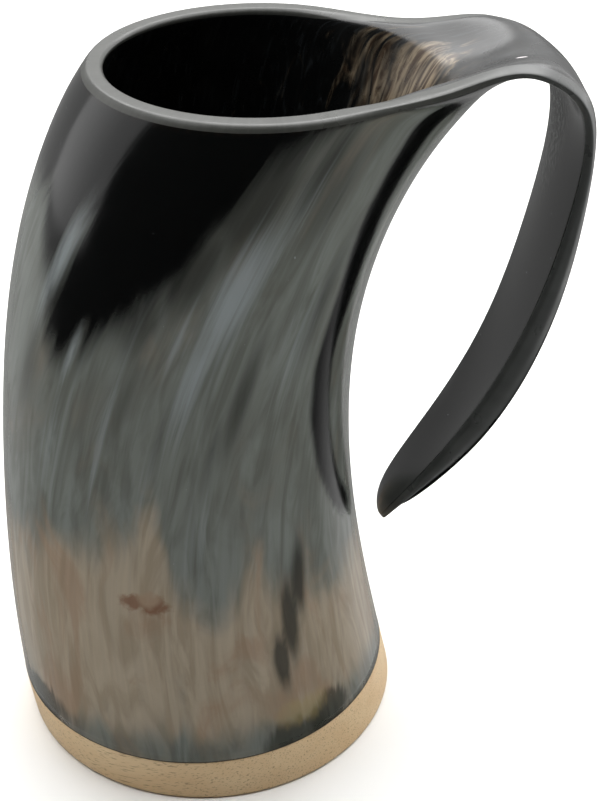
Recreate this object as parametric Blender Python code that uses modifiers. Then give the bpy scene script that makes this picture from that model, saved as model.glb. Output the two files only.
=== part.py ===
"""Horn tankard: one cattle horn, wide end down, whose upper strip is bent over as the handle,
closed below by a turned wooden base that is glued in and sealed inside.

Metres, +Z up. The origin is the middle of the base's underside, and the handle points along +X.
"""

import math

import bpy
import numpy as np

MM = 0.001

# ---- driving dimensions -------------------------------------------------------------------
RIM_HEIGHT = 161.0 * MM  # table to the flat cut of the rim
FOOT_RADIUS = 45.0 * MM  # horn and base at the table
MOUTH_RADIUS = 35.2 * MM  # outside of the round part of the rim
MOUTH_SHIFT = 14.4 * MM  # how far the horn's bend carries the mouth towards the handle
WAIST_SHIFT = -5.4 * MM  # and how far it carries the lower half away from it

WALL_FOOT = 4.0 * MM  # horn wall at the base
WALL_BACK = 4.4 * MM  # rim opposite the handle
WALL_SIDE = 5.4 * MM  # rim at the two sides
EDGE_ROUND = 1.1 * MM  # polished edges of the rim and the handle
HANDLE_WALL = 4.4 * MM  # handle at its thickest

LEAN_REACH = 7.2 * MM  # the handle-side wall leans out to here at the rim
LEAN_DROP = 13.5 * MM  # and turns over this far below the rim
LEAN_START = 0.5  # share of the height where it begins to lean
LEAN_EASE = 2.5  # how late the lean grows: a power of the share that is left
LIP_TILT = 0.9  # rise of the wall's own direction, for each step inwards, where the lip turns over

BAND_HEIGHT = 11.0 * MM  # wood that shows below the horn
PLUG_HEIGHT = 9.0 * MM  # wood inside the horn above the band
FIT = 0.3 * MM  # clearance between pieces that touch
GLUE = 0.4 * MM  # glue between the plug and the horn
BASE_CHAMFER = 0.5 * MM  # broken edges of the base
BEAD = 3.0 * MM  # leg of the sealing bead
BEAD_TOE = 0.12  # share of the leg that its two thin ends keep
BEAD_HOLLOW = 0.35  # share of the leg that is left in the hollow of its face

# The horn's outline at five shares of its height: how far its centre follows the waist and
# the mouth, and how far its radius goes from the foot's to the mouth's.
SHARES = (0.0, 0.28, 0.52, 0.76, 1.0)
WAIST_PART = (0.0, 1.0, 1.02, 0.0, 0.0)
MOUTH_PART = (0.0, 0.0, 0.0, 0.0, 1.0)
RADIUS_PART = (0.0, 0.35, 0.63, 0.74, 1.0)

# Handle stations from the rim to the tip, in mm. Crown and edge are the middle and the side
# line of the strip's gap-side face: how far out from the cup's wall line, and how far below the rim.
# crown out, crown down, edge out, edge down, half width, share of the thickness
HANDLE = (
    (15.2, 6.4, -0.6, 2.0, 22.7, 0.88),
    (20.4, 2.6, 7.3, 0.5, 19.3, 0.77),
    (25.7, 3.2, 15.3, -0.5, 17.8, 0.71),
    (31.0, 7.5, 23.8, 3.0, 16.7, 0.71),
    (35.2, 13.6, 32.2, 8.4, 15.4, 0.76),
    (36.8, 22.7, 37.4, 18.9, 14.3, 0.88),
    (37.9, 34.5, 39.4, 31.3, 13.9, 1.11),
    (38.2, 48.2, 39.4, 45.0, 13.4, 1.35),
    (36.4, 63.0, 37.5, 59.1, 12.3, 1.48),
    (31.8, 77.7, 32.8, 73.5, 10.8, 1.50),
    (24.3, 90.8, 25.3, 87.3, 9.8, 1.44),
    (14.4, 102.0, 16.0, 100.4, 9.0, 1.24),
    (6.8, 111.0, 8.0, 110.3, 7.0, 0.90),
    (5.2, 116.2, 6.0, 115.4, 4.0, 0.50),
)

# ---- resolution ---------------------------------------------------------------------------
COLUMNS = 12  # cage columns round half the cup
STRIP = 4  # of them, those between the handle's crown and its edge
ROWS = (0.0, 0.12, 0.27, 0.42, 0.56, 0.68, 0.79, 0.885, 0.955, 1.0)  # shares of the horn's height
RING_SIDES = 48  # sides of the wooden and glued pieces
SMOOTHING = 1
MERGE = 0.01 * MM  # points of the two halves this near are one
SHARP_ANGLE = math.radians(40)

STEP = math.pi / COLUMNS
CAGE_SWELL = 3 / (2 + math.cos(STEP))  # a smoothed ring lies inside its cage by this share


# ---- the horn's form ----------------------------------------------------------------------
def through_stations(parts, height):
    """The smooth curve through the five stations, at a height above the table."""
    curve = np.polyfit(SHARES, parts, len(SHARES) - 1)
    return np.polyval(curve, np.asarray(height) / RIM_HEIGHT)


def centre_at(height):
    """Sideways place of the horn's centre line."""
    waist = WAIST_SHIFT * through_stations(WAIST_PART, height)
    return waist + MOUTH_SHIFT * through_stations(MOUTH_PART, height)


def radius_at(height):
    """Outside radius of the horn."""
    return FOOT_RADIUS + (MOUTH_RADIUS - FOOT_RADIUS) * through_stations(RADIUS_PART, height)


def wall_line(height):
    """Where the horn's outside would meet the handle's plane if the wall didn't lean."""
    return centre_at(height) + radius_at(height)


def wall_at(angle, height):
    """Wall thickness: even at the foot, thicker at the rim's sides than at its back."""
    rim = WALL_BACK + (WALL_SIDE - WALL_BACK) * np.sin(angle) ** 2
    return WALL_FOOT + (rim - WALL_FOOT) * height / RIM_HEIGHT


def bore_at(height):
    """Inside radius of the horn low down, where its wall is as thick all round."""
    return radius_at(height) - wall_at(0.0, height)


def unit(vectors):
    return vectors / np.linalg.norm(vectors, axis=-1, keepdims=True)


def cup_skin():
    """Outside of half the cup, rows up it and columns round it from the handle's plane.

    The second grid goes from each point through the wall. The cuts at the rim and the foot are
    level, so it is level too, but for the lip that turns over into the handle.
    """
    foot = BAND_HEIGHT + FIT
    heights = foot + np.array(ROWS)[:, None] * (RIM_HEIGHT - foot)
    angles = (np.arange(COLUMNS + 1) * STEP)[None, :]
    facing = np.cos(np.minimum(angles / (STRIP * STEP), 1) * math.pi / 2) ** 2
    rise = np.clip((heights / RIM_HEIGHT - LEAN_START) / (1 - LEAN_START), 0, 1)
    lean = facing * rise**LEAN_EASE
    out = radius_at(heights) * CAGE_SWELL
    x = centre_at(heights) + out * np.cos(angles) + LEAN_REACH * lean
    skin = np.stack([x, out * np.sin(angles), heights - LEAN_DROP * lean], axis=-1)
    inward = np.stack([-np.cos(angles) + 0 * lean, -np.sin(angles) + 0 * lean, LIP_TILT * lean], axis=-1)
    return skin, unit(inward) * wall_at(angles, heights)[..., None]


def handle_skin(root):
    """Gap side of half the handle, rows along it and columns from its crown to its edge.

    The second grid goes through the wall, square to the skin. The root is the rim's part that
    the handle grows out of.
    """
    crown_out, crown_down, edge_out, edge_down, half, share = np.array(HANDLE).T
    crown_height = RIM_HEIGHT - crown_down * MM
    edge_height = RIM_HEIGHT - edge_down * MM
    crown = np.stack([wall_line(crown_height) + crown_out * MM, 0 * half, crown_height], axis=-1)
    edge = np.stack([wall_line(edge_height) + edge_out * MM, 0 * half, edge_height], axis=-1)
    fall = (edge - crown)[:, None]
    side = (half * MM)[:, None, None] * np.array([0.0, 1.0, 0.0])
    across = np.linspace(0, 1, STRIP + 1)[None, :, None]
    skin = crown[:, None] + fall * across**2 + side * across
    along = np.gradient(np.concatenate([root[None], skin]), axis=0)[1:]
    inward = unit(np.cross(along, 2 * fall * across + side))
    return skin, inward * (HANDLE_WALL * share)[:, None, None]


def grid_index(grid, first):
    """The numbers of a grid's points, counted from the first."""
    return first + np.arange(grid[..., 0].size).reshape(grid.shape[:2])


def quads_of(index):
    """The quads between the rows and columns of a grid of point numbers."""
    corners = [index[:-1, :-1], index[:-1, 1:], index[1:, 1:], index[1:, :-1]]
    return np.stack(corners, axis=-1).reshape(-1, 4)


def crease(mesh, chains):
    """Keeps the edges along these chains of points sharp when the mesh is smoothed."""
    ends = np.array([edge.vertices[:] for edge in mesh.edges])
    sharp = sum(np.isin(ends, chain).all(axis=1) for chain in chains)
    mesh.attributes.new("crease_edge", "FLOAT", "EDGE").data.foreach_set("value", sharp)


def half_horn(name):
    """The horn on one side of the handle's plane, open at the plane: a cage for smoothing."""
    cup, cup_wall = cup_skin()
    strip, strip_wall = handle_skin(cup[-1, : STRIP + 1])
    skin = np.concatenate([cup.reshape(-1, 3), strip.reshape(-1, 3)])
    wall = np.concatenate([cup_wall.reshape(-1, 3), strip_wall.reshape(-1, 3)])
    cup_index = grid_index(cup, 0)
    strip_index = grid_index(strip, cup_index.size)
    run = np.concatenate([cup_index[-1:, : STRIP + 1], strip_index])
    outside = np.concatenate([quads_of(cup_index), quads_of(run)])

    # The cut edge, from the middle of the rim's back to the handle, down its side and in to
    # the middle of its tip. Both its corners are pulled back and cut off, which rounds it.
    rim, side, tip = cup_index[-1, STRIP:][::-1], strip_index[:, -1], strip_index[-1, :-1][::-1]
    cut = np.concatenate([rim, side, tip])
    inward = unit(wall[cut])
    outward = np.cross(inward, np.gradient(skin[cut], axis=0))
    outward[[0, -1], 1] = 0
    back = np.zeros_like(skin)
    back[cut] = unit(outward) * EDGE_ROUND
    outer_corner = skin[cut] + inward * EDGE_ROUND
    inner_corner = skin[cut] + wall[cut] - inward * EDGE_ROUND
    points = np.concatenate([skin - back, skin + wall - back, outer_corner, inner_corner])

    through = len(skin)
    corner = 2 * through + np.arange(len(cut))
    edge = np.stack([cut + through, corner + len(cut), corner, cut])
    foot = np.stack([cup_index[0] + through, cup_index[0]])
    inside = (outside + through)[:, ::-1]
    quads = np.concatenate([outside, inside, quads_of(edge), quads_of(foot)])
    mesh = bpy.data.meshes.new(name)
    mesh.from_pydata(points.tolist(), [], quads.tolist())
    crease(mesh, foot)
    return mesh


# ---- materials and objects ----------------------------------------------------------------
def material(name, colour, roughness):
    finish = bpy.data.materials.new(name)
    finish.use_nodes = True
    shader = finish.node_tree.nodes["Principled BSDF"]
    shader.inputs["Base Color"].default_value = (*colour, 1.0)
    shader.inputs["Roughness"].default_value = roughness
    shader.inputs["Metallic"].default_value = 0.0
    finish.diffuse_color = (*colour, 1.0)
    return finish


def place(name, mesh, finish, collection):
    item = bpy.data.objects.new(name, mesh)
    mesh.materials.append(finish)
    mesh.shade_smooth()
    mesh.set_sharp_from_angle(angle=SHARP_ANGLE)
    collection.objects.link(item)
    return item


def horn_body(collection):
    finish = material("polished_horn", (0.045, 0.045, 0.042), 0.22)
    item = place("horn_body", half_horn("horn_body"), finish, collection)
    halves = item.modifiers.new("other half", "MIRROR")
    halves.use_axis = (False, True, False)
    halves.merge_threshold = MERGE
    smooth = item.modifiers.new("smooth", "SUBSURF")
    smooth.levels = SMOOTHING
    smooth.render_levels = SMOOTHING


def lofted_rings(name, rings, closed):
    """Rings of (height, radius) about the horn's centre line, each joined to the next.

    The last is joined to the first if the piece is a closed sleeve, or else both ends are capped.
    """
    heights, radii = np.array(rings).T[..., None]
    angles = np.linspace(0, 2 * math.pi, RING_SIDES, endpoint=False)
    x = centre_at(heights) + radii * np.cos(angles)
    points = np.stack([x, radii * np.sin(angles), heights + 0 * x], axis=-1)
    index = grid_index(points, 0)
    caps = [] if closed else [index[0, ::-1].tolist(), index[-1].tolist()]
    index = np.concatenate([index, index[:, :1]], axis=1)
    if closed:
        index = np.concatenate([index, index[:1]])
    mesh = bpy.data.meshes.new(name)
    mesh.from_pydata(points.reshape(-1, 3).tolist(), [], quads_of(index).tolist() + caps)
    return mesh


def wooden_base(collection):
    """A band flush with the horn's outside, and a plug that centres it in the horn."""
    finish = material("pale_wood", (0.53, 0.36, 0.19), 0.5)
    top = BAND_HEIGHT + PLUG_HEIGHT
    slack = 2 * FIT + GLUE
    rings = [
        (0.0, radius_at(0.0) - BASE_CHAMFER),
        (BASE_CHAMFER, radius_at(BASE_CHAMFER)),
        (BAND_HEIGHT / 2, radius_at(BAND_HEIGHT / 2)),
        (BAND_HEIGHT, radius_at(BAND_HEIGHT)),
        (BAND_HEIGHT, bore_at(BAND_HEIGHT) - slack),
        (top - BASE_CHAMFER, bore_at(top) - slack),
        (top, bore_at(top) - slack - BASE_CHAMFER),
    ]
    place("wooden_base", lofted_rings("wooden_base", rings, False), finish, collection)


def base_glue(collection):
    """The sleeve of glue between the plug and the horn, clear of both."""
    finish = material("dark_glue", (0.05, 0.035, 0.02), 0.35)
    low = BAND_HEIGHT + FIT
    high = BAND_HEIGHT + PLUG_HEIGHT - BASE_CHAMFER
    rings = [
        (low, bore_at(low) - FIT),
        (high, bore_at(high) - FIT),
        (high, bore_at(high) - FIT - GLUE),
        (low, bore_at(low) - FIT - GLUE),
    ]
    place("base_glue", lofted_rings("base_glue", rings, True), finish, collection)


def seal_bead(collection):
    """The bead of resin that fills the inside corner over the plug."""
    finish = material("sealing_resin", (0.30, 0.19, 0.08), 0.25)
    low = BAND_HEIGHT + PLUG_HEIGHT + FIT
    high = low + BEAD
    toe = low + BEAD * BEAD_TOE
    hollow = low + BEAD * BEAD_HOLLOW
    rings = [
        (low, bore_at(low) - FIT),
        (high, bore_at(high) - FIT),
        (high, bore_at(high) - FIT - BEAD * BEAD_TOE),
        (hollow, bore_at(hollow) - FIT - BEAD * BEAD_HOLLOW),
        (toe, bore_at(low) - FIT - BEAD),
        (low, bore_at(low) - FIT - BEAD),
    ]
    place("seal_bead", lofted_rings("seal_bead", rings, True), finish, collection)


def main():
    for item in list(bpy.data.objects):
        bpy.data.objects.remove(item)
    collection = bpy.data.collections.new("horn_tankard")
    bpy.context.scene.collection.children.link(collection)
    horn_body(collection)
    wooden_base(collection)
    base_glue(collection)
    seal_bead(collection)


main()
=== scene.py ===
# %% [markdown]
# # A horn tankard
#
# A tankard cut from one cattle horn. The wide end of the horn stands down on a wooden base, and
# a strip left above the mouth is heated and bent over as the handle. This lesson loads the plain
# model as its frame, makes a fine skin for each piece, gives each a finish worked out from what
# the material really is, and lights it like a small product picture.

# %% Load the frame
import math

import bpy
import numpy as np
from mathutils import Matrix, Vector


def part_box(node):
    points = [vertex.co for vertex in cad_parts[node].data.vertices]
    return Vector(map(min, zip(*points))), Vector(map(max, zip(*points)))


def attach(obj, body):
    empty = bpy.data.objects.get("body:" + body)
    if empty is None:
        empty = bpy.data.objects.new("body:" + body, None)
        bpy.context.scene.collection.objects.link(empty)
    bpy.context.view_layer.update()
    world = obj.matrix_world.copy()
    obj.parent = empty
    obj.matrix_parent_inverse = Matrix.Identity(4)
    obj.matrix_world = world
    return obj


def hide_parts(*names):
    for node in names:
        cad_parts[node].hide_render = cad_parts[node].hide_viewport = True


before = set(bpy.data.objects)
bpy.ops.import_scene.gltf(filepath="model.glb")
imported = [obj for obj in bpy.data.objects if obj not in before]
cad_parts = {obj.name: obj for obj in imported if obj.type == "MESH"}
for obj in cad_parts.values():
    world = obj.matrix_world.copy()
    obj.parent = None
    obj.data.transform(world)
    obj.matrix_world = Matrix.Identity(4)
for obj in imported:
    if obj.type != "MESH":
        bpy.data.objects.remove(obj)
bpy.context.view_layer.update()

# %% [markdown]
# ## Sizes
#
# The sizes of the turned pieces are read from the frame: the base's radius and height, and where
# glue and bead begin and end. A box can't say how a horn bends, so the rest are the driving sizes
# of the horn itself, in millimetres. CROWN_FILL makes the middle of the handle thicker than its
# sides. Towards the handle the outside of the wall leans out by LEAN_REACH and its rim drops by
# LEAN_DROP, and LIP_REACH and LIP_DROP say the same of the inside.

# %% Sizes
MM = 0.001
glue_low, glue_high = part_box("base_glue")
base_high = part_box("wooden_base")[1]
bead_low, bead_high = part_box("seal_bead")

RIM_HEIGHT = 161.0 * MM
FOOT_RADIUS = base_high.y
MOUTH_RADIUS = 35.2 * MM
MOUTH_SHIFT = 14.4 * MM
WAIST_SHIFT = -5.4 * MM
WALL_FOOT = 4.0 * MM
WALL_BACK = 4.4 * MM
WALL_SIDE = 5.4 * MM
HANDLE_WALL = 4.4 * MM
CROWN_FILL = 0.3
EDGE_ROUND = 0.9 * MM
LEAN_REACH = 7.2 * MM
LEAN_DROP = 13.5 * MM
LEAN_START = 0.5
LEAN_EASE = 2.5
LIP_REACH = 9.2 * MM
LIP_DROP = 3.3 * MM
FIT = 0.3 * MM
BAND_HEIGHT = glue_low.z - FIT
BASE_TOP = base_high.z
print("foot radius", FOOT_RADIUS, "wood band", BAND_HEIGHT, "floor of the cup", BASE_TOP)

# %% [markdown]
# ## The line of the horn
#
# A horn tapers and bends at once. Its outline is three smooth curves over the height: how far
# the centre swings away from the handle at the waist, how far it swings towards it at the mouth,
# and how the radius shrinks. Each curve is the polynomial through five stations, which keeps the
# skin free of the flat spots that straight pieces would show in a gloss.

# %% Centre line and radius
SHARES = (0.0, 0.28, 0.52, 0.76, 1.0)
WAIST_PART = (0.0, 1.0, 1.02, 0.0, 0.0)
MOUTH_PART = (0.0, 0.0, 0.0, 0.0, 1.0)
RADIUS_PART = (0.0, 0.35, 0.63, 0.74, 1.0)


def through_stations(parts, height):
    """The polynomial through the five stations, read at a height."""
    return np.polyval(np.polyfit(SHARES, parts, len(SHARES) - 1), np.asarray(height) / RIM_HEIGHT)


def centre_at(height):
    """Waist swing plus mouth swing."""
    waist = WAIST_SHIFT * through_stations(WAIST_PART, height)
    return waist + MOUTH_SHIFT * through_stations(MOUTH_PART, height)


def radius_at(height):
    """From the foot's radius to the mouth's, by the share that the stations give."""
    return FOOT_RADIUS + (MOUTH_RADIUS - FOOT_RADIUS) * through_stations(RADIUS_PART, height)


def wall_at(angle, height):
    """Even at the foot; at the rim the sides are thicker than the back."""
    rim = WALL_BACK + (WALL_SIDE - WALL_BACK) * np.sin(angle) ** 2
    return WALL_FOOT + (rim - WALL_FOOT) * height / RIM_HEIGHT


def bore_at(height):
    """Inside radius low down."""
    return radius_at(height) - wall_at(0.0, height)


print("waist centre", round(float(centre_at(0.4 * RIM_HEIGHT)), 5), "m")

# %% [markdown]
# ## The skin of the cup and of the handle
#
# The real cup and handle are one piece of horn, so they are one mesh. It could be carved with
# Booleans, but the joint between a tube and a bent strip would never be smooth. Instead the
# outside is two coarse grids that share a row: one round the cup, one along the strip. A second
# grid of steps through the wall gives the inside, a profile carried along the cut edge joins the
# two, and a Subdivision Surface makes the whole cage smooth.

# %% Grids of the horn
COLUMNS = 24
STRIP = 4
ROWS = np.array((0.0, 0.12, 0.27, 0.42, 0.56, 0.68, 0.79, 0.885, 0.955, 1.0))
STEP = 2 * math.pi / COLUMNS
CAGE_SWELL = 0.9998 * 3 / (2 + math.cos(STEP))  # a hair under, to stay inside the frame

# Handle stations from the rim to the tip, in mm: the middle line and the side line of the side
# that faces the cup, as how far out from the cup's wall and how far below the rim.
# middle out, middle down, side out, side down, half width, share of the thickness
HANDLE = (
    (15.2, 6.4, -0.6, 2.0, 22.7, 0.88),
    (20.4, 2.6, 7.3, 0.5, 19.3, 0.77),
    (25.7, 3.2, 15.3, -0.5, 17.8, 0.71),
    (31.0, 7.5, 23.8, 3.0, 16.7, 0.71),
    (35.2, 13.6, 32.2, 8.4, 15.4, 0.76),
    (36.8, 22.7, 37.4, 18.9, 14.3, 0.88),
    (37.9, 34.5, 39.4, 31.3, 13.9, 1.11),
    (38.2, 48.2, 39.4, 45.0, 13.4, 1.35),
    (36.4, 63.0, 37.5, 59.1, 12.3, 1.48),
    (31.8, 77.7, 32.8, 73.5, 10.8, 1.50),
    (24.3, 90.8, 25.3, 87.3, 9.8, 1.44),
    (14.4, 102.0, 16.0, 100.4, 9.0, 1.24),
    (6.8, 111.0, 8.0, 110.3, 7.0, 0.90),
    (5.2, 116.2, 6.0, 115.4, 4.0, 0.50),
)


def unit(vectors):
    """Each vector over its own length."""
    return vectors / np.linalg.norm(vectors, axis=-1, keepdims=True)


def cup_skin():
    """Point = centre at its height + radius at its height, turned by the column's angle.

    Towards the handle the wall leans out and its rim drops, by a share that fades with the
    cosine of the angle squared and grows with the height.
    """
    foot = BAND_HEIGHT + FIT
    heights = foot + ROWS[:, None] * (RIM_HEIGHT - foot)
    angles = (np.arange(1, COLUMNS + 1) * STEP - math.pi)[None, :]
    facing = np.cos(np.minimum(abs(angles) / (STRIP * STEP), 1) * math.pi / 2) ** 2
    rise = np.clip((heights / RIM_HEIGHT - LEAN_START) / (1 - LEAN_START), 0, 1)
    lean = facing * rise**LEAN_EASE
    wall = wall_at(angles, heights)
    skins = []
    for depth, reach, drop in ((0, LEAN_REACH, LEAN_DROP), (wall, LIP_REACH, LIP_DROP)):
        out = radius_at(heights) * CAGE_SWELL - depth
        x = centre_at(heights) + out * np.cos(angles) + reach * lean
        skins.append(np.stack([x, out * np.sin(angles), heights - drop * lean], axis=-1))
    skin, inside = skins
    return skin, inside - skin, angles + 0 * lean, heights + 0 * lean


def handle_skin(root):
    """Point = middle line + fall to the side line x (share across squared) + half width x share."""
    middle_out, middle_down, side_out, side_down, half, share = np.array(HANDLE).T
    middle_height = RIM_HEIGHT - middle_down * MM
    side_height = RIM_HEIGHT - side_down * MM
    wall_line = centre_at(middle_height) + radius_at(middle_height)
    middle = np.stack([wall_line + middle_out * MM, 0 * half, middle_height], axis=-1)
    wall_line = centre_at(side_height) + radius_at(side_height)
    side = np.stack([wall_line + side_out * MM, 0 * half, side_height], axis=-1)
    fall = (side - middle)[:, None]
    width = (half * MM)[:, None, None] * np.array([0.0, 1.0, 0.0])
    across = np.linspace(-1, 1, 2 * STRIP + 1)[None, :, None]
    skin = middle[:, None] + fall * across**2 + width * across
    along = np.gradient(np.concatenate([root[None], skin]), axis=0)[1:]
    crown = CROWN_FILL * (share - share.min())[:, None, None] * (1 - across**2)
    thickness = HANDLE_WALL * (share[:, None, None] + crown)
    wall = unit(np.cross(along, 2 * fall * across + width)) * thickness
    steps = np.linalg.norm(np.diff(np.concatenate([root[None], skin]), axis=0), axis=-1)
    length = RIM_HEIGHT + np.cumsum(steps.mean(axis=1, keepdims=True) + 0 * steps, axis=0)
    return skin, wall, across[..., 0] * STRIP * STEP + 0 * length, length


cup, cup_wall, cup_angle, cup_length = cup_skin()
facing_columns = np.arange(COLUMNS // 2 - STRIP - 1, COLUMNS // 2 + STRIP)
strip, strip_wall, strip_angle, strip_length = handle_skin(cup[-1, facing_columns])
print("cup grid", cup.shape, "handle grid", strip.shape, "handle length", strip_length.max())

# %% [markdown]
# ## Straight-horn coordinates
#
# Horn grows in fibres that run along it, and they turn a little round it towards the tip. A UV
# map could carry a pattern along them, but it would have a seam down the cup. So each point keeps
# the place it had in the straight horn: its angle with that turn taken away, on an even cylinder,
# and its length from the base. Streaks are then noise that is stretched along the third number.

# %% Straight-horn coordinates
STRAIGHT_RADIUS = 35.0 * MM
TURN = math.radians(30)  # how far the fibres turn round the horn from the waist to the rim
TURN_START = 55.0 * MM
TURN_EASE = 1.4


def fibre_turn(length):
    """Grows with a power of the length above the waist."""
    return TURN * np.clip((length - TURN_START) / (RIM_HEIGHT - TURN_START), 0, 1.3) ** TURN_EASE


def straight(angle, length):
    """Point = (radius x cosine, radius x sine, length), at the angle less the fibres' turn."""
    turned = angle - fibre_turn(length)
    around = [STRAIGHT_RADIUS * np.cos(turned), STRAIGHT_RADIUS * np.sin(turned)]
    return np.stack([*around, length], axis=-1).reshape(-1, 3)


places = np.concatenate([straight(cup_angle, cup_length), straight(strip_angle, strip_length)])
print("straight horn is", round(float(places[:, 2].max()), 3), "m long")

# %% [markdown]
# ## One closed cage
#
# The cut edge runs round the rim, down one side of the handle, round its tip and back up. A saw
# and a sander leave it flat, with corners that are crisp round the mouth. Along the handle the
# upper corner was sanded until it is round. A Bevel modifier would do both alike, so the corners
# are set back in the cage: a light crease keeps the crisp ones through the smoothing, and the
# worn one is set back further and has no crease.

# %% Cage of the horn
CORNER_CREASE = 0.42
SIDE_CREASE = 0.3
WORN_BACK = 2.2 * MM  # how far the worn corner is set back into the top face
WORN_SHARE = 0.3  # and how far down the cut edge, as a share of the thickness
OUTSIDE, INSIDE, CUT = range(3)


def quads_of(index):
    """The quads between the rows and columns of a grid of point numbers."""
    corners = [index[:-1, :-1], index[:-1, 1:], index[1:, 1:], index[1:, :-1]]
    return np.stack(corners, axis=-1).reshape(-1, 4)


def round_again(index):
    """The grid with its first column once more at its end, so that it closes."""
    return np.concatenate([index, index[:, :1]], axis=1)


skin = np.concatenate([cup.reshape(-1, 3), strip.reshape(-1, 3)])
wall = np.concatenate([cup_wall.reshape(-1, 3), strip_wall.reshape(-1, 3)])
cup_index = np.arange(cup[..., 0].size).reshape(cup.shape[:2])
strip_index = cup_index.size + np.arange(strip[..., 0].size).reshape(strip.shape[:2])
run = np.concatenate([cup_index[-1:, facing_columns], strip_index])
outside = np.concatenate([quads_of(round_again(cup_index)), quads_of(run)])

rim = np.concatenate([cup_index[-1, facing_columns[-1] :], cup_index[-1, : facing_columns[0] + 1]])
cut = np.concatenate([rim, strip_index[:, 0], strip_index[-1, 1:-1], strip_index[::-1, -1]])
inward = unit(wall[cut])
along = np.roll(skin[cut], -1, axis=0) - np.roll(skin[cut], 1, axis=0)
outward = unit(np.cross(along, inward))
on_handle = (cut >= cup_index.size).astype(float)[:, None]
worn = EDGE_ROUND + on_handle * WORN_BACK
worn_down = EDGE_ROUND + on_handle * (WORN_SHARE * np.linalg.norm(wall[cut], axis=1, keepdims=True))
back, inner_back = np.zeros_like(skin), np.zeros_like(skin)
back[cut] = outward * EDGE_ROUND
inner_back[cut] = outward * worn
outer_corner = skin[cut] + inward * EDGE_ROUND
inner_corner = skin[cut] + wall[cut] - inward * worn_down
points = np.concatenate([skin - back, skin + wall - inner_back, outer_corner, inner_corner])
point_places = np.concatenate([places, places, places[cut], places[cut]])

through = len(skin)
corner = 2 * through + np.arange(len(cut))
edge = round_again(np.stack([cut, corner, corner + len(cut), cut + through]))
foot = round_again(np.stack([cup_index[0] + through, cup_index[0]]))
parts = [outside, (outside + through)[:, ::-1], quads_of(edge), quads_of(foot)]
quads = np.concatenate(parts)
kinds = np.repeat((OUTSIDE, INSIDE, CUT, CUT), [len(part) for part in parts])
print("cage:", len(points), "points,", len(quads), "quads")

# %% Fine skin of the horn
HORN_LEVELS = 3


def mesh_of(name, points, faces, smooth=True):
    """A mesh of these points and faces, shaded smooth or flat."""
    mesh = bpy.data.meshes.new(name)
    mesh.from_pydata(points.tolist(), [], [list(face) for face in faces])
    mesh.shade_smooth() if smooth else mesh.shade_flat()
    return mesh


def new_piece(name, mesh):
    """An object at the origin that shows the mesh."""
    piece = bpy.data.objects.new(name, mesh)
    bpy.context.scene.collection.objects.link(piece)
    return piece


def crease(mesh, marks):
    """Marks = pairs of a chain of points and how sharp the edges along it stay."""
    ends = np.array([edge.vertices[:] for edge in mesh.edges])
    sharp = np.zeros(len(ends), np.float32)
    for chain, value in marks:
        sharp[np.isin(ends, chain).all(axis=1)] = value
    mesh.attributes.new("crease_edge", "FLOAT", "EDGE").data.foreach_set("value", sharp)


def keep_places(mesh, name, values):
    """Keeps three numbers for each point, which the smoothing carries along."""
    layer = mesh.attributes.new(name, "FLOAT_VECTOR", "POINT")
    layer.data.foreach_set("vector", values.astype(np.float32).ravel())


horn_mesh = mesh_of("horn", points, quads)
horn_mesh.polygons.foreach_set("material_index", kinds.astype(np.int32))
crisp = np.arange(len(rim))  # the part of the cut edge that runs round the mouth
marks = [(cut, SIDE_CREASE), (cut[crisp] + through, SIDE_CREASE), (corner, CORNER_CREASE)]
marks += [(corner[crisp] + len(cut), CORNER_CREASE), (foot[0], 1.0), (foot[1], 1.0)]
crease(horn_mesh, marks)
keep_places(horn_mesh, "straight", point_places)
horn = new_piece("horn", horn_mesh)
smooth = horn.modifiers.new("smooth", "SUBSURF")
smooth.levels = HORN_LEVELS
smooth.render_levels = HORN_LEVELS

evaluated = horn.evaluated_get(bpy.context.evaluated_depsgraph_get())
fine_mesh = bpy.data.meshes.new_from_object(evaluated)
horn.modifiers.clear()
horn.data = fine_mesh
fine_mesh.name = "horn"
bpy.data.meshes.remove(horn_mesh)
print("fine horn:", len(fine_mesh.vertices), "points,", len(fine_mesh.polygons), "faces")

# %% [markdown]
# ## Where the horn is dark and where it is clear
#
# Black horn is only black towards its tip. Lower down the pigment thins out into grey and then
# into a clear taupe, with streaks along the fibres. Noise alone draws such clouds, but never the
# ones of this horn. So each cloud is worked out here for every point of the fine skin and kept
# as an attribute, and the finish breaks up its edge with fibre noise. Angles are degrees round
# the cup from the handle, and heights are millimetres from the table.

# %% Edges of the black and of the clear horn
# Angle, height: how low the black reaches round the cup.
BLACK_REACH = (
    (-180, 140), (-160, 140), (-150, 128), (-143, 112), (-134, 108), (-118, 119), (-104, 130),
    (-96, 142), (-86, 154), (-60, 164), (-40, 166), (0, 160), (25, 140), (55, 122), (80, 130),
    (102, 108), (135, 124), (155, 130), (180, 140),
)
BLACK_SOFT = 11.0  # half of the height over which it fades

# Angle, height: how far up the clear taupe reaches round the cup.
CLEAR_REACH = (
    (-180, 66), (-150, 58), (-132, 66), (-112, 72), (-102, 84), (-94, 62), (-84, 54), (-72, 62),
    (-58, 50), (-40, 46), (-20, 50), (15, 46), (48, 66), (80, 50), (112, 70), (148, 54), (180, 66),
)
CLEAR_SOFT = 16.0

# Height, angle: painted reflection of the handle, a narrow black line up the cup's side next to it.
HANDLE_REFLECTION_LINE = (
    (58, -24), (68, -32), (80, -39), (92, -43), (105, -44), (120, -40), (140, -39), (160, -34),
)
REFLECTION_HALF = 5.5  # half width in degrees
REFLECTION_START = 54.0
REFLECTION_FADE = 10.0
print("the black comes down to", min(height for angle, height in BLACK_REACH), "mm")

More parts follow.
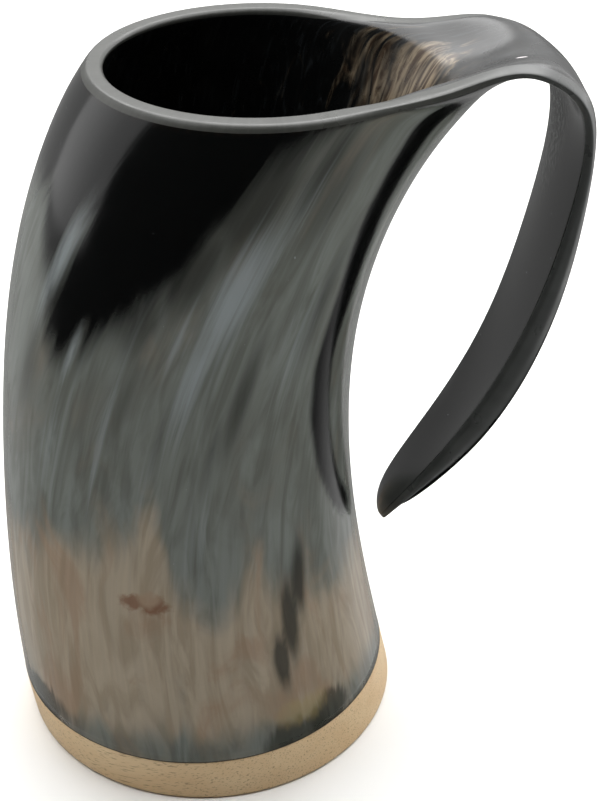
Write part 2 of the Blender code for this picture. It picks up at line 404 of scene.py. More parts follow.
# %% Patches of pigment
# Angle, height, half width in degrees, half length in mm, strength.
PALE_PATCHES = (
    (-84, 128, 6.0, 13, 1.0), (-92, 110, 3.6, 15, 0.8), (-98, 118, 3.0, 9, 0.7),
    (-142, 132, 4.4, 15, 1.0), (-131, 113, 2.4, 9, 0.8), (-70, 140, 2.6, 16, 0.45),
    (-118, 94, 3.0, 20, 0.4), (-136, 92, 3.0, 18, 0.5), (-104, 84, 3.4, 17, 0.4),
    (-60, 112, 4.0, 18, 0.45), (-88, 70, 4.0, 14, 0.35), (60, 120, 6.0, 16, 0.8),
    (52, 96, 4.0, 14, 0.6), (135, 124, 5.0, 16, 0.8), (110, 100, 5.0, 18, 0.6),
    (175, 110, 5.0, 16, 0.6),
)
DARK_PATCHES = (
    (-55, 54, 2.8, 11, 1.2), (-60, 44, 3.4, 12, 1.3), (-65, 34, 3.0, 10, 1.2),
    (-76, 104, 4.0, 16, 0.75), (-86, 147, 12.0, 15, 1.0), (-98, 134, 8.0, 12, 1.0),
    (-68, 152, 7.0, 15, 0.8), (-110, 122, 6.0, 10, 0.8), (-62, 146, 9.0, 18, 0.6),
    (-52, 122, 5.0, 20, 0.6), (-84, 92, 3.0, 14, 0.5), (-112, 104, 4.0, 14, 0.5),
    (-150, 104, 6.0, 16, 0.6), (-40, 90, 5.0, 22, 0.55), (-100, 96, 2.4, 12, 0.5),
    (35, 70, 5.0, 22, 0.8), (80, 84, 5.0, 20, 0.6), (110, 60, 4.0, 20, 0.7),
    (170, 70, 5.0, 22, 0.7), (150, 46, 3.0, 14, 0.7), (-170, 60, 4.0, 18, 0.5),
    (0, 100, 12.0, 26, 0.6),
)
print(len(PALE_PATCHES), "pale patches,", len(DARK_PATCHES), "dark ones")


# %% Shapes of clouds
def smoothstep(values):
    """3 v squared - 2 v cubed, for a value v held between 0 and 1."""
    values = np.clip(values, 0, 1)
    return values * values * (3 - 2 * values)


def bell(values, middle, half):
    """e to the power -(distance from the middle / half) squared."""
    return np.exp(-(((values - middle) / half) ** 2))


def turned(angle, height):
    """A place on the cup as an angle of the straight horn: angle - the fibres' turn, in degrees."""
    return angle - np.degrees(fibre_turn(np.asarray(height) * MM))


def apart(angle, other):
    """Signed difference of two angles in degrees, the short way round."""
    return (angle - other + 180) % 360 - 180


def level_round(round_cup, table):
    """The table's height at each angle: smooth steps from each station to the next."""
    stations, levels = np.array(table, float).T
    left = np.clip(np.searchsorted(stations, round_cup) - 1, 0, len(stations) - 2)
    share = smoothstep((round_cup - stations[left]) / (stations[left + 1] - stations[left]))
    return levels[left] + share * (levels[left + 1] - levels[left])


def patches(fibre, height, chosen):
    """Highest of the patches at each point: strength x bell round the horn x bell along it."""
    found = np.zeros_like(fibre)
    for angle, level, half_width, half_length, strength in chosen:
        aside = apart(fibre, turned(angle, level))
        patch = strength * bell(aside, 0, half_width) * bell(height, level, half_length)
        found = np.maximum(found, patch)
    return found


print("a soft step goes through", [round(float(smoothstep(k / 4)), 3) for k in range(5)])


# %% Places of the fine skin
def read_places(mesh):
    """The straight-horn place of each point, as the smoothing left it."""
    values = np.empty(len(mesh.vertices) * 3, np.float32)
    mesh.attributes["straight"].data.foreach_get("vector", values)
    return values.reshape(-1, 3).astype(float)


def keep_cloud(mesh, name, values):
    """Keeps one number for each point."""
    layer = mesh.attributes.new(name, "FLOAT", "POINT")
    layer.data.foreach_set("value", values.astype(np.float32))


fine_places = read_places(fine_mesh)
fibre = np.degrees(np.arctan2(fine_places[:, 1], fine_places[:, 0]))
height = fine_places[:, 2] / MM
round_cup = apart(fibre + np.degrees(fibre_turn(fine_places[:, 2])), 0)
print("heights from", round(height.min(), 1), "to", round(height.max(), 1), "mm along the horn")

# %% Clouds of pigment
PALE_HOLDS_BACK = 0.8  # the share of the black that a pale patch keeps away
GREY_BAND = (13.0, 8.0)  # just above the wood the clear horn is greyer: middle, half
GREY_SHARE = 0.8
ROOT_START = 176.0  # from here the whole handle is black
ROOT_FADE = 20.0

pale = patches(fibre, height, PALE_PATCHES)
dark = patches(fibre, height, DARK_PATCHES)
above = height - level_round(round_cup, BLACK_REACH)
black = smoothstep(0.5 + above / (2 * BLACK_SOFT)) * (1 - PALE_HOLDS_BACK * pale)
below = level_round(round_cup, CLEAR_REACH) - height
clear = smoothstep(0.5 + below / (2 * CLEAR_SOFT)) * (1 - GREY_SHARE * bell(height, *GREY_BAND))
# Painted reflection of the handle: a narrow black line up the cup's side, joined to the black cloud.
from_reflection = (round_cup - np.interp(height, *np.array(HANDLE_REFLECTION_LINE).T)) / REFLECTION_HALF
painted_reflection = np.exp(-(from_reflection**4)) * smoothstep((height - REFLECTION_START) / REFLECTION_FADE)
near_root = smoothstep((height - ROOT_START) / ROOT_FADE)
black = np.maximum(np.maximum(black, near_root), painted_reflection)

for name, values in (("black", black), ("pale", pale), ("dark", dark), ("clear", clear)):
    keep_cloud(fine_mesh, name, values)
    print(f"cloud {name}: mean {values.mean():.3f}")

# %% [markdown]
# ## Small marks of this horn
#
# Near the foot there are two small brown scars of a bruise in the growing horn, dark stains and a
# yellowish spot just above the wood, and in the mouth a white fleck. They could be clouds like
# those above, but they are too small for the points of the skin. So the finish draws each of
# them round a place on the cup, which is worked out here.

# %% Places of the small marks
def on_cup(angle, height):
    """Point = centre + radius turned by the angle in degrees, at a height in mm."""
    level, turn = height * MM, math.radians(angle)
    out = float(radius_at(level))
    return (float(centre_at(level)) + out * math.cos(turn), out * math.sin(turn), level)


# Place, then how far it reaches along X, Y and Z in mm.
SCARS = ((on_cup(-108, 55.4), (2.6, 9, 1.8)), (on_cup(-101, 54.6), (2.6, 9, 2.4)))
SCAR_HEART = (on_cup(-103, 56.2), (2.3, 9, 2.0))
STAINS = (
    (on_cup(-64, 11.5), (9, 9, 5)),
    (on_cup(-50, 14.5), (5, 8, 5)),
    (on_cup(-150, 15), (9, 9, 5)),
)
YELLOW = (on_cup(-60, 19), (4.5, 6, 3.0))
FLECK = ((66.1 * MM, -9.0 * MM, 159.0 * MM), (1.3, 0.5, 6))
print("scars", len(SCARS), "stains", len(STAINS))

# %% [markdown]
# ## Tools for the finishes
#
# Colours are written as sRGB hex, as a paint chart has them, and one function turns them into
# the linear numbers that the renderer works in. A finish could be drawn by hand in the node
# editor, but here it has to be read. So one small function adds a node with its settings and
# inputs, and what a finish does again and again, such as laying one colour over another, is a
# table of layers.

# %% Colour and nodes
def colour(code):
    """sRGB hex to linear: the standard curve on each channel."""
    channels = np.array([int(code[k : k + 2], 16) for k in (1, 3, 5)]) / 255
    linear = np.where(channels <= 0.04045, channels / 12.92, ((channels + 0.055) / 1.055) ** 2.4)
    return (*linear.tolist(), 1.0)


def feed(tree, node, inputs):
    """Inputs = socket's name or number: a value to set, or an output or a node to link."""
    for socket, value in inputs.items():
        if isinstance(value, bpy.types.Node):
            value = next(output for output in value.outputs if output.enabled)
        if isinstance(value, bpy.types.NodeSocket):
            tree.links.new(value, node.inputs[socket])
        else:
            node.inputs[socket].default_value = value


def add(tree, kind, inputs=None, **settings):
    """Adds a node of this kind, with its settings and its inputs."""
    made = tree.nodes.new(kind)
    for key, value in settings.items():
        setattr(made, key, value)
    feed(tree, made, inputs or {})
    return made


def finish(name):
    """A new material, its node tree and its Principled shader."""
    material = bpy.data.materials.new(name)
    material.use_nodes = True
    tree = material.node_tree
    return material, tree, tree.nodes["Principled BSDF"]


print("mid grey is", [round(x, 3) for x in colour("#808080")[:3]], "in linear light")


# %% Layers of colour
def layered(tree, base, layers):
    """Colours laid over a base in turn, each by strength x soft step of its pattern.

    A layer is its pattern, the values at which the colour starts and is full, its strength, and
    the colour or the node that makes it.
    """
    for pattern, start, full, strength, over in layers:
        share = {"Value": pattern, "From Min": start, "From Max": full, "To Max": strength}
        share = add(tree, "ShaderNodeMapRange", share, interpolation_type="SMOOTHSTEP")
        base = add(tree, "ShaderNodeMix", {0: share, 6: base, 7: over}, data_type="RGBA")
    return base


def fibre_noise(tree, width, stretch, detail, distortion):
    """Noise in straight-horn coordinates: this wide across the fibres, and stretch times as long."""
    place = add(tree, "ShaderNodeAttribute", attribute_name="straight").outputs["Vector"]
    along = add(tree, "ShaderNodeMapping", {"Vector": place, "Scale": (1, 1, 1 / stretch)})
    noise = {"Vector": along, "Scale": 1 / width, "Detail": detail, "Distortion": distortion}
    return add(tree, "ShaderNodeTexNoise", noise)


def frayed(tree, name, noise, strength):
    """A kept cloud with its edge broken up: cloud + strength x (noise - 1/2)."""
    kept = add(tree, "ShaderNodeAttribute", attribute_name=name).outputs["Fac"]
    shifted = add(tree, "ShaderNodeMath", {0: noise, 1: -0.5}, operation="ADD")
    inputs = {0: shifted, 1: strength, 2: kept}
    return add(tree, "ShaderNodeMath", inputs, operation="MULTIPLY_ADD")


def mark(tree, spot, noise, ragged, soft, strength, over):
    """The layer of a small mark: full where distance in reaches + ragged x noise is small."""
    middle, reach = spot
    place = add(tree, "ShaderNodeTexCoord").outputs["Object"]
    steps = add(tree, "ShaderNodeVectorMath", {0: place, 1: middle}, operation="SUBTRACT")
    per_reach = tuple(1 / (size * MM) for size in reach)
    steps = add(tree, "ShaderNodeVectorMath", {0: steps, 1: per_reach}, operation="MULTIPLY")
    away = add(tree, "ShaderNodeVectorMath", {0: steps}, operation="LENGTH")
    away = add(tree, "ShaderNodeMath", {0: noise, 1: ragged, 2: away}, operation="MULTIPLY_ADD")
    edge = 1 + ragged / 2
    return away, edge + soft / 2, edge - soft / 2, strength, over


print("layers ready")

# %% [markdown]
# ## Polished horn, outside
#
# Horn is keratin, the stuff of nails: a clear, hard protein with an IOR near 1.55, black where
# it holds pigment. It is scraped, sanded fine and buffed, so it has a wet gloss over a colour
# that seems to lie under the surface. It could be a shader with scattering below the surface,
# but the pigment hides the depth, so colour under a sharp gloss is enough. Its fibres are about
# 0.1 mm wide, too fine to show, and are drawn 0.5 mm wide. They gather in streaks of one to five
# millimetres, always along the horn.

# %% Gloss of horn
HORN_IOR = 1.55
FIBRE_WIDTH = 0.5 * MM
WEAR_WIDTH = 9.0 * MM
SCRAPE_DEPTH = 0.35 * MM


def horn_gloss(tree, roughness, lift, raised=None):
    """Inputs of the buffed surface: faint wear in the roughness, and fibres that stand up."""
    fibres = fibre_noise(tree, FIBRE_WIDTH, 60, 3, 0.0)
    place = add(tree, "ShaderNodeTexCoord").outputs["Object"]
    wear = add(tree, "ShaderNodeTexNoise", {"Vector": place, "Scale": 1 / WEAR_WIDTH, "Detail": 4})
    wear = {"Value": wear, "From Min": 0.3, "From Max": 0.7, "To Min": roughness}
    wear["To Max"] = roughness * 1.8
    bump = {"Height": fibres, "Strength": 0.35, "Distance": lift}
    bump = add(tree, "ShaderNodeBump", bump)
    if raised is not None:
        rough = {"Height": raised, "Strength": 0.6, "Distance": SCRAPE_DEPTH, "Normal": bump}
        bump = add(tree, "ShaderNodeBump", rough)
    return {"Roughness": add(tree, "ShaderNodeMapRange", wear), "Normal": bump, "IOR": HORN_IOR}


print("fibres", FIBRE_WIDTH / MM, "mm wide")

# %% Scraped part of the handle
SCRAPED_LEVEL = (207.0, 12.0)  # along the horn, just past the bend: middle, half
SCRAPED_FADE = 40.0  # degrees over which the scrapes fade, from the far side to the near one

scraped = bell(height, *SCRAPED_LEVEL) * smoothstep(0.5 + round_cup / SCRAPED_FADE)
keep_cloud(fine_mesh, "scraped", scraped)
print(f"cloud scraped: mean {scraped.mean():.3f}")

# %% Polished horn
FINE_STREAK = 1.1 * MM
STREAK_WIDTH = 4.5 * MM
CLOUD_WIDTH = 15.0 * MM
GRIT_WIDTH = 1.8 * MM
SPECK_WIDTH = 1.1 * MM
SCRAPE_WIDTH = 1.2 * MM
MOST = (0.36, 0.64)  # the stretch that most of a noise lies in
RIM_SHADE_BAND = (158.6 * MM, 159.6 * MM)  # painted shade: a dark band just under the rim's corner


def polished_horn():
    """Buffed horn: to the eye wet and deep, black above, and streaked grey and taupe below."""
    material, tree, shader = finish("polished black horn")
    fibres = fibre_noise(tree, FINE_STREAK, 45, 5, 0.3)
    streaks = fibre_noise(tree, STREAK_WIDTH, 7, 6, 1.6)
    clouds = fibre_noise(tree, CLOUD_WIDTH, 2.5, 6, 1.6)
    place = add(tree, "ShaderNodeTexCoord").outputs["Object"]
    level = add(tree, "ShaderNodeSeparateXYZ", {"Vector": place}).outputs["Z"]
    grit, specks, grain = [
        add(tree, "ShaderNodeTexNoise", {"Vector": place, "Scale": 1 / width, "Detail": detail})
        for width, detail in ((GRIT_WIDTH, 4), (SPECK_WIDTH, 2), (SCRAPE_WIDTH, 6))
    ]
    kept = add(tree, "ShaderNodeAttribute", attribute_name="scraped").outputs["Fac"]
    faint = add(tree, "ShaderNodeMath", {0: kept, 1: 0.45}, operation="MULTIPLY")
    # Painted shade, broken up by the fibres: a dark band just under the rim's corner.
    rim_shade = {"Value": fibres, "From Min": MOST[0], "From Max": MOST[1], "To Max": 0.8}
    rim_shade = add(tree, "ShaderNodeMapRange", rim_shade, interpolation_type="SMOOTHSTEP")

    grey_layers = (
        (streaks, *MOST, 1.0, colour("#737772")),
        (fibres, *MOST, 0.12, colour("#868b8c")),
        (clouds, *MOST, 0.35, colour("#585750")),
    )
    taupe_layers = (
        (streaks, *MOST, 1.0, colour("#a29684")),
        (clouds, 0.5, 0.68, 0.45, colour("#8a6c56")),
        (fibres, *MOST, 0.12, colour("#6a655d")),
    )
    grey = layered(tree, colour("#60635d"), grey_layers)
    taupe = layered(tree, colour("#908472"), taupe_layers)
    layers = (
        (frayed(tree, "clear", clouds, 1.6), 0.1, 0.9, 1.0, taupe),
        (frayed(tree, "dark", streaks, 0.8), 0.15, 0.95, 0.85, colour("#30312d")),
        (frayed(tree, "pale", fibres, 1.2), 0.1, 1.1, 0.75, colour("#949c9f")),
        # Black pigment, and with it the painted reflection of the handle.
        (frayed(tree, "black", streaks, 0.8), 0.12, 0.88, 1.0, colour("#090a0a")),
        *(mark(tree, spot, streaks, 2.0, 0.6, 0.75, colour("#33352f")) for spot in STAINS),
        mark(tree, YELLOW, streaks, 2.6, 1.0, 0.4, colour("#9a8a5c")),
        *(mark(tree, spot, grit, 1.8, 0.9, 0.65, colour("#6a3d24")) for spot in SCARS),
        mark(tree, SCAR_HEART, grit, 1.0, 0.9, 0.85, colour("#94816e")),
        (specks, 0.76, 0.82, 0.55, colour("#9aa0a2")),
        # Painted shade under the rim's corner.
        (level, *RIM_SHADE_BAND, rim_shade, colour("#15110e")),
        (grain, 0.4, 0.65, faint, colour("#6c706e")),
    )
    base = layered(tree, grey, layers)

    scrapes = {"Value": grain, "From Min": 0.4, "From Max": 0.65, "To Max": kept}
    scrapes = add(tree, "ShaderNodeMapRange", scrapes, interpolation_type="SMOOTHSTEP")
    feed(tree, shader, {"Base Color": base, **horn_gloss(tree, 0.10, 0.03 * MM, scrapes)})
    return material


horn.data.materials.append(polished_horn())
print("nodes of the outside:", len(horn.data.materials[0].node_tree.nodes))

# %% [markdown]
# ## Inside and cut edge
#
# The inside is scraped and lacquered. It is nearly black with faint streaks, but where the wall
# turns over into the handle a pale core shows, in cream and tan streaks. The cut edge shows the
# horn end on: a dull warm grey, because the fibres' ends scatter light. Each could be a noise of
# its own, but the same fibre noise at other widths keeps them one material with the outside.

# %% Pale core and handle
CORE_LEVEL = (154.0, 17.0)  # middle, half
CORE_ANGLE = (17.0, 24.0)
EDGE_START = 172.0  # from here the cut edge has the handle's colour
EDGE_FADE = 25.0

core = bell(height, *CORE_LEVEL) * bell(apart(round_cup, CORE_ANGLE[0]), 0, CORE_ANGLE[1])
keep_cloud(fine_mesh, "cream", core)
keep_cloud(fine_mesh, "handle", smoothstep((height - EDGE_START) / EDGE_FADE))
print(f"cloud cream: mean {core.mean():.3f}")


# %% Inside and edge finishes
def inside_horn():
    """Lacquered horn: to the eye a dark, soft gloss, with the bare streaks of the pale core."""
    material, tree, shader = finish("lacquered horn inside")
    fibres = fibre_noise(tree, 2.0 * MM, 6, 6, 1.8)
    streaks = fibre_noise(tree, 5.0 * MM, 3.5, 5, 1.8)
    tan = layered(tree, colour("#4a3828"), [(fibres, 0.38, 0.62, 1.0, colour("#9c8c74"))])
    layers = (
        (fibres, 0.52, 0.7, 0.5, colour("#34383a")),
        (frayed(tree, "cream", streaks, 2.2), 0.3, 1.1, 0.9, tan),
        mark(tree, FLECK, fibres, 0.3, 0.4, 0.9, colour("#e6dfe0")),
    )
    base = layered(tree, colour("#0b0c0c"), layers)
    feed(tree, shader, {"Base Color": base, **horn_gloss(tree, 0.2, 0.03 * MM)})
    return material


def cut_horn():
    """Horn end on, sanded but not buffed: to the eye an even grey with a dull gloss."""
    material, tree, shader = finish("sanded horn edge")
    fine = fibre_noise(tree, 0.9 * MM, 6, 5, 0.4)
    rim = {0: fine, 6: colour("#343532"), 7: colour("#494a46")}
    strip = {0: fine, 6: colour("#333534"), 7: colour("#474948")}
    rim = add(tree, "ShaderNodeMix", rim, data_type="RGBA")
    strip = add(tree, "ShaderNodeMix", strip, data_type="RGBA")
    share = add(tree, "ShaderNodeAttribute", attribute_name="handle").outputs["Fac"]
    base = add(tree, "ShaderNodeMix", {0: share, 6: rim, 7: strip}, data_type="RGBA")
    feed(tree, shader, {"Base Color": base, **horn_gloss(tree, 0.24, 0.04 * MM)})
    return material


horn.data.materials.append(inside_horn())
horn.data.materials.append(cut_horn())
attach(horn, "root")
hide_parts("horn_body")
used = np.empty(len(fine_mesh.polygons), np.int32)
fine_mesh.polygons.foreach_get("material_index", used)
print("faces of each finish:", np.bincount(used).tolist())

# %% [markdown]
# ## Turned pieces
#
# The base, its glue and the sealing bead follow the horn's own outline, so that the sanded joint
# is flush. A Screw modifier would turn a profile round a straight axis, but this outline shifts
# as it rises. So each piece is a profile of heights and radii carried round the horn's centre
# line, with enough sides that it looks round.

# %% Profile carried round
RING_SIDES = 192
SHARP_CORNER = math.radians(35)


def turned_piece(name, profile, closed):
    """Point = centre at its height + radius turned by the angle. A closed profile is a ring."""
    heights, radii = np.array(profile, float).T[..., None]
    angles = np.linspace(0, 2 * math.pi, RING_SIDES, endpoint=False)[None, :]
    x = centre_at(heights) + radii * np.cos(angles)
    grid = np.stack([x, radii * np.sin(angles), heights + 0 * x], axis=-1)
    index = np.arange(x.size).reshape(x.shape)
    caps = [] if closed else [index[0, ::-1], index[-1]]
    index = round_again(index)
    if closed:
        index = np.concatenate([index, index[:1]])
    faces = quads_of(index).tolist() + [cap.tolist() for cap in caps]
    mesh = mesh_of(name, grid.reshape(-1, 3), faces)
    mesh.set_sharp_from_angle(angle=SHARP_CORNER)
    return new_piece(name, mesh)


def arc(middle, radius, first, last, count):
    """(height, radius) = middle + radius x (sine, cosine), for angles in degrees from level."""
    turns = np.radians(np.linspace(first, last, count))
    return np.stack([np.sin(turns), np.cos(turns)], axis=-1) * radius + middle


print("each ring has", RING_SIDES, "sides")

# %% Wooden base
BREAK = 0.6 * MM  # the sanded round at the foot and at the top of the plug
BAND_START = 1.0 * MM
BAND_STEPS = 8
SANDED_AWAY = 0.12 * MM  # what sanding took off the soft wood next to the harder horn
PLUG_PLAY = 1.0 * MM

plug_low, plug_top = bore_at(BAND_HEIGHT) - PLUG_PLAY, bore_at(BASE_TOP) - PLUG_PLAY
foot_radius = radius_at(0.0)
band_levels = np.linspace(BAND_START, BAND_HEIGHT - FIT, BAND_STEPS)
profile = [(0.0, foot_radius - BREAK), *arc((BREAK, foot_radius - BREAK), BREAK, -80, -10, 6)]
profile += [(level, radius_at(level)) for level in band_levels]
profile += [(BAND_HEIGHT, radius_at(BAND_HEIGHT) - SANDED_AWAY), (BAND_HEIGHT, plug_low)]
profile += [(BASE_TOP - BREAK, plug_top), (BASE_TOP, plug_top - BREAK)]
base = turned_piece("wooden_base_turned", profile, False)
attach(base, "root")
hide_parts("wooden_base")
print("base profile", len(profile), "points")

# %% [markdown]
# ## Glue and sealing bead
#
# The glue fills the sleeve between plug and horn, and was squeezed out through the 0.3 mm gap,
# where it shows as a thin dark line round the tankard. The bead is a fillet of clear amber resin
# that was run round the inside corner. A dark stripe painted on the wood would pass for the line
# from afar, but real pieces catch the light, so both are closed rings.

# %% Glue
GLUE_PLAY = 0.1 * MM
LINE_PLAY = 0.02 * MM
LINE_SUNK = 0.06 * MM  # at its edges the line lies just under the horn's outline
LINE_PROUD = 0.02 * MM  # and in its middle it swells just past it

low, high = BAND_HEIGHT + LINE_PLAY, BAND_HEIGHT + FIT - LINE_PLAY
sleeve_top = glue_high.z
profile = [
    (low, plug_low + GLUE_PLAY),
    (low, radius_at(low) - LINE_SUNK),
    ((low + high) / 2, radius_at(low) + LINE_PROUD),
    (high, radius_at(high) - LINE_SUNK),
    (high, bore_at(high) - GLUE_PLAY),
    (sleeve_top, bore_at(sleeve_top) - FIT),
    (sleeve_top, bore_at(sleeve_top) - PLUG_PLAY + FIT),
]
glue = turned_piece("glue_line", profile, True)
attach(glue, "root")
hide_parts("base_glue")
print("glue sleeve", round((sleeve_top - low) / MM, 2), "mm high")

# %% Sealing bead
BEAD_HOLLOW = 0.88  # radius of the hollow face, as a share of the leg

bead_leg = bead_high.z - bead_low.z
bead_edge = bore_at(bead_low.z) - FIT
profile = [
    (bead_low.z, bead_edge),
    (bead_high.z, bore_at(bead_high.z) - FIT),
    *arc((bead_high.z, bead_edge - bead_leg), bead_leg * BEAD_HOLLOW, -4, -86, 10),
    (bead_low.z, bead_edge - bead_leg),
]
bead = turned_piece("resin_bead", profile, True)
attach(bead, "root")
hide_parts("seal_bead")
print("bead leg", round(bead_leg / MM, 2), "mm")

# %% [markdown]
# ## Wood, glue and resin
#
# The base is a disc of pale hardwood with its grain lying flat, sanded and oiled. Round its side
# the year rings come out as soft bands, with short brown flecks where pores are cut along, and
# dots where they are cut across. A Wave texture would give rings as even as a ruler's, so they
# are noise that is stretched along the grain. The pores are about 0.15 mm wide, too fine to
# show, and are drawn 0.35 mm wide. Glue and resin are plain glossy plastics with lumps in them.

# %% Pale oiled hardwood
GRAIN_TURN = (0.12, 0.05, 0.5)  # how the grain lies in the disc, in radians
ALONG_GRAIN = (0.12, 1, 1)  # the figure is about eight times as long as it is wide
BAND_WIDTH = 12.0 * MM
FIGURE_WIDTH = 1.12 * MM
PORE_WIDTH = 0.35 * MM
PORE_DEPTH = 0.05 * MM


def oiled_hardwood():
    """Sanded and oiled: to the eye a warm satin, flecked brown, with a faint grain to the touch."""
    material, tree, shader = finish("oiled pale hardwood")
    place = add(tree, "ShaderNodeTexCoord").outputs["Object"]
    lying = add(tree, "ShaderNodeMapping", {"Vector": place, "Rotation": GRAIN_TURN})
    along = add(tree, "ShaderNodeMapping", {"Vector": lying, "Scale": ALONG_GRAIN})
    rings = {"Vector": along, "Scale": 1 / BAND_WIDTH, "Detail": 4, "Distortion": 1.0}
    rings = add(tree, "ShaderNodeTexNoise", rings)
    figure = {"Vector": along, "Scale": 1 / FIGURE_WIDTH, "Detail": 6, "Distortion": 0.4}
    figure = add(tree, "ShaderNodeTexNoise", figure)
    figure = add(tree, "ShaderNodeMath", {0: figure, 1: 0.5}, operation="MULTIPLY")
    pores = {"Vector": along, "Scale": 1 / PORE_WIDTH, "Detail": 3}
    pores = add(tree, "ShaderNodeTexNoise", pores)

    base = {0: rings, 6: colour("#d0a97a"), 7: colour("#ecd8b2")}
    base = add(tree, "ShaderNodeMix", base, data_type="RGBA")
    base = {0: figure, 6: base, 7: colour("#d6b483")}
    base = add(tree, "ShaderNodeMix", base, data_type="RGBA")
    base = layered(tree, base, [(pores, 0.55, 0.68, 0.5, colour("#6f4a28"))])
    bump = {"Height": pores, "Strength": 0.3, "Distance": PORE_DEPTH}
    bump = add(tree, "ShaderNodeBump", bump)
    feed(tree, shader, {"Base Color": base, "Normal": bump, "Roughness": 0.42, "IOR": 1.5})
    return material


base.data.materials.append(oiled_hardwood())
print("wood on", base.name)


# %% Glue and resin finishes
def lumpy_plastic(name, lump, detail, dark, pale):
    """Two colours mixed by a soft noise of lumps this wide, for a plastic that set by itself."""
    material, tree, shader = finish(name)
    place = add(tree, "ShaderNodeTexCoord").outputs["Object"]
    lumps = add(tree, "ShaderNodeTexNoise", {"Vector": place, "Scale": 1 / lump, "Detail": detail})
    base = {0: lumps, 6: colour(dark), 7: colour(pale)}
    base = add(tree, "ShaderNodeMix", base, data_type="RGBA")
    feed(tree, shader, {"Base Color": base})
    return material, tree, shader


# Epoxy glue, darkened by horn dust: to the eye a brown-black line with a satin gloss.
set_glue, tree, shader = lumpy_plastic("set dark glue", 2.5 * MM, 4, "#120c07", "#4a3520")
feed(tree, shader, {"Roughness": 0.35})
glue.data.materials.append(set_glue)

# Clear epoxy resin, smooth as it flowed: to the eye a wet amber edge.
resin, tree, shader = lumpy_plastic("clear amber resin", 6.0 * MM, 3, "#3a2410", "#6e4a22")
feed(tree, shader, {"Roughness": 0.12, "IOR": 1.5})
bead.data.materials.append(resin)
print("finishes:", [material.name for material in bpy.data.materials])

# %% [markdown]
# ## Floor and light
#
# Small glossy things are pictured on a pale table in a tent of white cloth, whose open side is
# dark. A single lamp would show as one hard spot in the gloss. So a large soft sheet hangs above
# and a little behind, a wider one stands behind, and two faint walls stand left and right. The
# sky is pale behind the tankard and to its right, and dim on the open side in front. The table
# is kept out of reflections, because it would veil the lower half of the gloss in pale light.

# %% Floor
FLOOR_HALF = 1.0
FLOOR_GAP = 0.2 * MM  # below the foot, so that the two don't share a plane


def pale_floor():
    """Matt painted board: to the eye an even, almost white ground with no gloss."""
    material, tree, shader = finish("pale table")
    feed(tree, shader, {"Base Color": colour("#f4f4f2"), "Roughness": 0.7})
    return material


corners = np.array([[-1, -1, 0], [1, -1, 0], [1, 1, 0], [-1, 1, 0]]) * FLOOR_HALF
corners -= [0, 0, FLOOR_GAP]
floor = new_piece("table_top", mesh_of("table_top", corners, [[0, 1, 2, 3]], False))
floor.data.materials.append(pale_floor())
floor.visible_glossy = False
print("floor", 2 * FLOOR_HALF, "m wide")


# %% Soft lights
def soft_light(name, width, height, place, aim, power):
    """A rectangle of even light that faces the aim point."""
    lamp = bpy.data.lights.new(name, "AREA")
    lamp.shape = "RECTANGLE"
    lamp.size = width
    lamp.size_y = height
    lamp.energy = power
    holder = bpy.data.objects.new(name, lamp)
    bpy.context.scene.collection.objects.link(holder)
    holder.location = place
    towards = Vector(aim) - Vector(place)
    holder.rotation_euler = towards.to_track_quat("-Z", "Y").to_euler()
    holder.visible_camera = False


soft_light("top_sheet", 1.6, 1.3, (0.05, 0.3, 1.0), (0.0, 0.0, 0.0), 27)
soft_light("left_wall", 0.9, 0.9, (-0.85, 0.25, 0.45), (0.0, 0.0, 0.08), 2.0)
soft_light("right_wall", 0.9, 0.9, (0.85, 0.25, 0.45), (0.0, 0.0, 0.08), 2.5)
soft_light("back_sheet", 2.4, 1.3, (0.15, 1.05, 0.85), (0.0, 0.0, 0.15), 7.5)
print("lights:", len(bpy.data.lights))

# %% Sky of the tent
EVEN = 0.3
BOTH_SIDES = 0.35  # more towards the left and the right, with X squared
RIGHT_SIDE = 0.5  # more again on the right
OPEN_SIDE = 0.03  # what is left of all of it in front

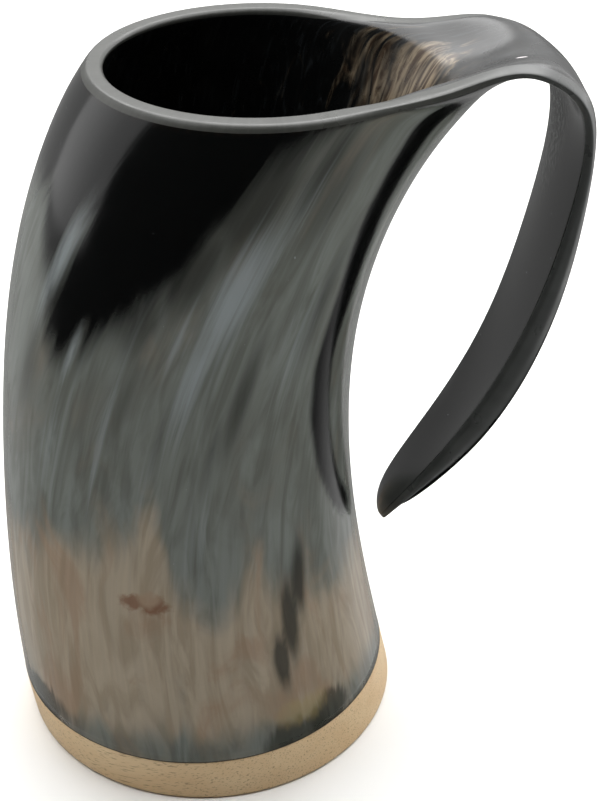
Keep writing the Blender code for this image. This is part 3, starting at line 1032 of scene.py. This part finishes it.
world = bpy.data.worlds.new("tent")
bpy.context.scene.world = world
world.use_nodes = True
sky = world.node_tree
direction = add(sky, "ShaderNodeTexCoord").outputs["Generated"]
sides = add(sky, "ShaderNodeSeparateXYZ", {"Vector": direction}).outputs
aside = add(sky, "ShaderNodeMath", {0: sides["X"], 1: 2.0}, operation="POWER")
cloth = {0: aside, 1: BOTH_SIDES, 2: EVEN}
cloth = add(sky, "ShaderNodeMath", cloth, operation="MULTIPLY_ADD")
right = {"Value": sides["X"], "From Min": 0.4, "From Max": 0.9}
right = add(sky, "ShaderNodeMapRange", right, interpolation_type="SMOOTHSTEP")
cloth = {0: right, 1: RIGHT_SIDE, 2: cloth}
cloth = add(sky, "ShaderNodeMath", cloth, operation="MULTIPLY_ADD")
behind = {"Value": sides["Y"], "From Min": 0.0, "From Max": 0.6, "To Min": OPEN_SIDE}
behind = add(sky, "ShaderNodeMapRange", behind, interpolation_type="SMOOTHSTEP")
cloth = add(sky, "ShaderNodeMath", {0: cloth, 1: behind}, operation="MULTIPLY")
seen = add(sky, "ShaderNodeLightPath").outputs["Is Camera Ray"]
strength = add(sky, "ShaderNodeMix", {0: seen, 2: cloth, 3: 1.0})  # an even backdrop, seen direct
feed(sky, sky.nodes["Background"], {"Color": colour("#fbfbfa"), "Strength": strength})
print("sky of", len(sky.nodes), "nodes")

# %% [markdown]
# ## Camera
#
# The tankard is looked at from close in front, a little to the left of the handle's plane and
# well above the rim, down into the mouth. A camera far away with a long lens would show its true
# proportions, but a close one makes the mouth look wide and the foot small, as the eye sees a
# cup on the table.

# %% Camera
SENSOR = 36.0  # mm
LENS = 69.2135  # mm
CAMERA_PLACE = (-0.01606, -0.2951, 0.2705)
CAMERA_TILT = math.radians(57.19)  # up from looking straight down
CAMERA_TURN = math.radians(-7.5)

camera_data = bpy.data.cameras.new("camera")
camera_data.sensor_width = SENSOR
camera_data.lens = LENS
camera_data.clip_start = 0.01
camera = bpy.data.objects.new("camera", camera_data)
bpy.context.scene.collection.objects.link(camera)
camera.location = CAMERA_PLACE
camera.rotation_euler = (CAMERA_TILT, 0.0, CAMERA_TURN)
bpy.context.scene.camera = camera
bpy.context.scene.view_settings.view_transform = "Standard"
print("lens", LENS, "mm")
